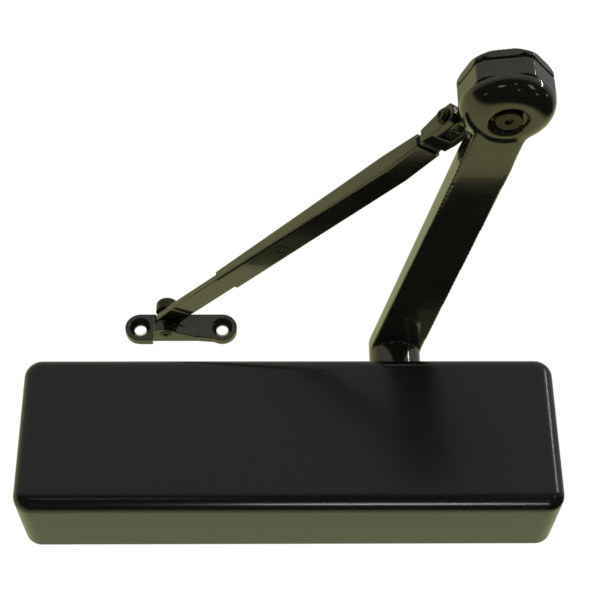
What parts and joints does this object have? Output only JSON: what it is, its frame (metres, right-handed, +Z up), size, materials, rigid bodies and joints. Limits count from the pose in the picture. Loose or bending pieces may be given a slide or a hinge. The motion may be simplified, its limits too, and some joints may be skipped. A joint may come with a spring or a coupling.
{
  "type": "surface door closer",
  "caption": "Surface-mounted door closer with a full box cover, forged main arm, round hold-open elbow, sliding forearm and a two-hole frame shoe.",
  "frame": {"origin": "centre of the four body mounting holes, on the door's face", "axes": "+Z up along the spindle, +Y into the door, +X to the right along the cylinder, as seen from the room"},
  "size_m": [0.311, 0.2882, 0.16],
  "materials": {
    "cover_finish": "satin dark bronze powder coat on pressed steel",
    "arm_finish": "glossy dark bronze enamel on forged and formed steel",
    "dark_hardware": "dark bronze steel hardware",
    "body_casting": "grey painted sand casting",
    "bright_steel": "machined",
    "spring_steel": "oil-blackened spring wire",
    "seal_rubber": "moulded nitrile"
  },
  "bodies": {
    "closer_body": {"cover": "cover_finish", "cover_screws": "dark_hardware", "closer_body": "body_casting", "left_end_cap": "body_casting", "right_end_cap": "body_casting", "cap_seals": "seal_rubber", "closer_spring": "spring_steel", "lower_bearing": "bright_steel", "upper_bearing": "bright_steel", "pinion_seal": "seal_rubber", "gland_nut": "body_casting", "lower_plug": "body_casting"},
    "power_adjuster": {"power_adjuster": "bright_steel"},
    "spring_seat": {"spring_seat": "bright_steel"},
    "piston": {"piston": "bright_steel", "check_ball": "bright_steel", "check_plug": "bright_steel"},
    "closing_speed_valve": {"closing_speed_valve": "bright_steel"},
    "latch_speed_valve": {"latch_speed_valve": "bright_steel"},
    "backcheck_valve": {"backcheck_valve": "bright_steel"},
    "main_arm": {"main_arm": "arm_finish", "pinion": "bright_steel", "spindle_washer": "dark_hardware", "spindle_screw": "dark_hardware", "elbow_stud": "dark_hardware", "detent_disc": "bright_steel"},
    "elbow_head": {"elbow_head": "arm_finish", "roller_cage": "bright_steel", "detent_rollers": "bright_steel", "spring_washer": "bright_steel", "nut_washer": "dark_hardware"},
    "hold_open_nut": {"hold_open_nut": "arm_finish"},
    "forearm": {"knuckle_fork": "arm_finish", "knuckle_pin": "dark_hardware", "forearm_tube": "arm_finish", "rod_lock_screw": "dark_hardware"},
    "forearm_rod": {"forearm_rod": "arm_finish"},
    "shoe": {"shoe": "arm_finish", "shoe_washer": "dark_hardware", "shoe_stud": "dark_hardware"}
  },
  "joints": [
    {"name": "arm_swing", "type": "hinge", "parent": "closer_body", "child": "main_arm", "pos_m": [0.0648, -0.028, 0.04], "axis": [0, 0, 1], "range_deg": [-180, 0], "stiffness_Nm_per_rad": 1.6, "springref_deg": 57.3},
    {"name": "piston_slide", "type": "slide", "parent": "closer_body", "child": "piston", "axis": [1, 0, 0], "range_m": [-0.0283, 0], "deforming": ["closer_spring"]},
    {"name": "adjuster_turn", "type": "hinge", "parent": "closer_body", "child": "power_adjuster", "pos_m": [-0.14, -0.028, 0], "axis": [1, 0, 0], "range_deg": [0, 720]},
    {"name": "seat_slide", "type": "slide", "parent": "closer_body", "child": "spring_seat", "axis": [1, 0, 0], "range_m": [-0.00399, 0]},
    {"name": "closing_speed_valve_turn", "type": "hinge", "parent": "closer_body", "child": "closing_speed_valve", "pos_m": [0.096, -0.028, -0.031], "axis": [0, 0, 1], "range_deg": [-180, 180]},
    {"name": "latch_speed_valve_turn", "type": "hinge", "parent": "closer_body", "child": "latch_speed_valve", "pos_m": [0.112, -0.028, -0.031], "axis": [0, 0, 1], "range_deg": [-180, 180]},
    {"name": "backcheck_valve_turn", "type": "hinge", "parent": "closer_body", "child": "backcheck_valve", "pos_m": [0.128, -0.028, -0.031], "axis": [0, 0, 1], "range_deg": [-180, 180]},
    {"name": "elbow_fold", "type": "hinge", "parent": "main_arm", "child": "elbow_head", "pos_m": [0.1022, -0.265, 0.078], "axis": [0, 0, 1], "range_deg": [-6, 150]},
    {"name": "hold_open_turn", "type": "hinge", "parent": "elbow_head", "child": "hold_open_nut", "pos_m": [0.1022, -0.265, 0.086], "axis": [0, 0, 1], "range_deg": [-90, 90]},
    {"name": "knuckle_tilt", "type": "hinge", "parent": "elbow_head", "child": "forearm", "pos_m": [0.08181, -0.23594, 0.0835], "axis": [0.8187, 0.5742, 0], "range_deg": [-6, 8]},
    {"name": "rod_slide", "type": "slide", "parent": "forearm", "child": "forearm_rod", "axis": [-0.5724, 0.8161, 0.0795], "range_m": [0, 0.035]},
    {"name": "shoe_turn", "type": "hinge", "parent": "forearm_rod", "child": "shoe", "pos_m": [-0.077, -0.0095, 0.0985], "axis": [0, 0, 1], "range_deg": [-18, 85]}
  ],
  "couplings": [
    {"joint": "piston_slide", "follows": "arm_swing", "m_per_rad": 0.009},
    {"joint": "adjuster_turn", "follows": "seat_slide", "rad_per_m": -3141.6}
  ]
}
